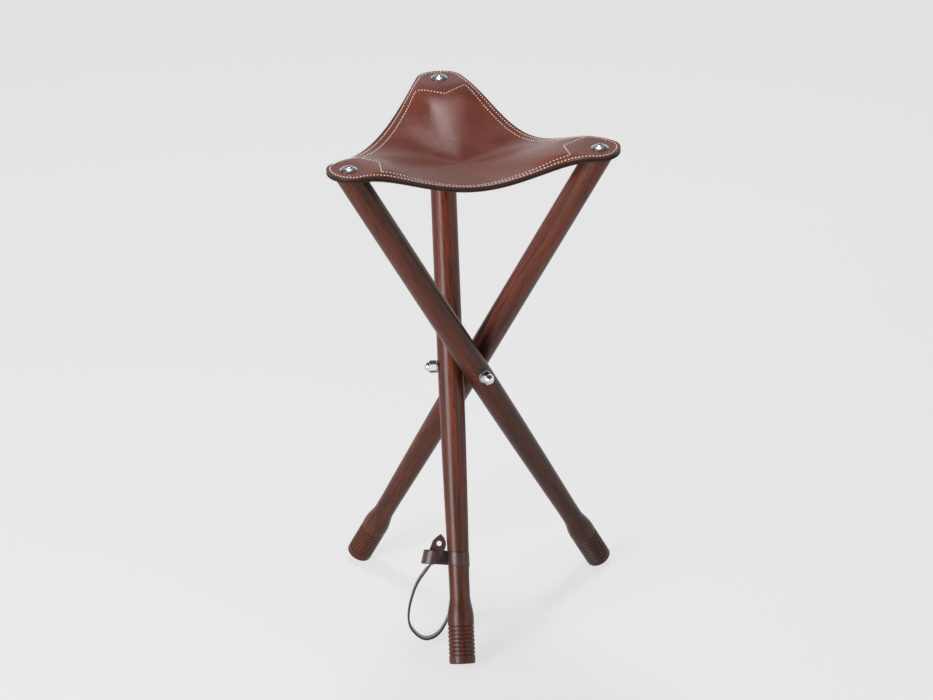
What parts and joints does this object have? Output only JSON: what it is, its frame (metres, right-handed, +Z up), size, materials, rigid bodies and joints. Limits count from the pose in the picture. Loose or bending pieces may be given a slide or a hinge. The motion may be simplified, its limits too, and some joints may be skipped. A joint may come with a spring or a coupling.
{
  "type": "folding tripod stool",
  "caption": "Folding tripod stool: turned wooden legs crossing on a shared pivot carry a stitched leather sling seat, with a closing strap on a leg.",
  "frame": {"origin": "on the floor under the middle of the opened stool's box, the loose strap tongue left out", "axes": "+Z up; seen from -Y, the seat's tabs stand left (leg_a), right (leg_b) and behind (leg_c)"},
  "size_m": [0.3378, 0.3762, 0.6255],
  "materials": {
    "stained_wood": "dark red-brown stain under satin varnish",
    "saddle_leather": "mid-brown saddle leather, smooth grain side up",
    "strap_leather": "dark brown strap leather",
    "bright_chrome": "bright plated",
    "zinc_steel": "zinc-plated steel"
  },
  "bodies": {
    "hub": {"pivot_hub": "zinc_steel", "seat_leather": "saddle_leather", "acorn_nut_a": "bright_chrome", "acorn_nut_b": "bright_chrome", "acorn_nut_c": "bright_chrome", "pivot_washer_a": "zinc_steel", "pivot_washer_b": "zinc_steel", "pivot_washer_c": "zinc_steel", "edge_band_ab": "saddle_leather", "edge_band_bc": "saddle_leather", "edge_band_ca": "saddle_leather"},
    "leg_a": {"leg_a": "stained_wood", "corner_patch_a": "saddle_leather", "cup_washer_a": "bright_chrome", "seat_screw_a": "bright_chrome"},
    "leg_b": {"leg_b": "stained_wood", "corner_patch_b": "saddle_leather", "cup_washer_b": "bright_chrome", "seat_screw_b": "bright_chrome"},
    "leg_c": {"leg_c": "stained_wood", "corner_patch_c": "saddle_leather", "cup_washer_c": "bright_chrome", "seat_screw_c": "bright_chrome", "strap_band": "strap_leather", "strap_tongue": "strap_leather"}
  },
  "joints": [
    {"name": "fold_a", "type": "hinge", "parent": "hub", "child": "leg_a", "pos_m": [0.0006, -0.01969, 0.31669], "axis": [-0.5, 0.866, 0], "range_deg": [0, 29.2], "deforming": ["seat_leather", "corner_patch_a", "corner_patch_b", "corner_patch_c", "edge_band_ab", "edge_band_bc", "edge_band_ca"]},
    {"name": "fold_b", "type": "hinge", "parent": "hub", "child": "leg_b", "pos_m": [0.0006, 0.01668, 0.31669], "axis": [-0.5, -0.866, 0], "range_deg": [0, 29.2]},
    {"name": "fold_c", "type": "hinge", "parent": "hub", "child": "leg_c", "pos_m": [-0.0309, -0.00151, 0.31669], "axis": [1, 0, 0], "range_deg": [0, 29.2]}
  ],
  "couplings": [
    {"joint": "fold_b", "follows": "fold_a", "ratio": 1},
    {"joint": "fold_c", "follows": "fold_a", "ratio": 1}
  ]
}
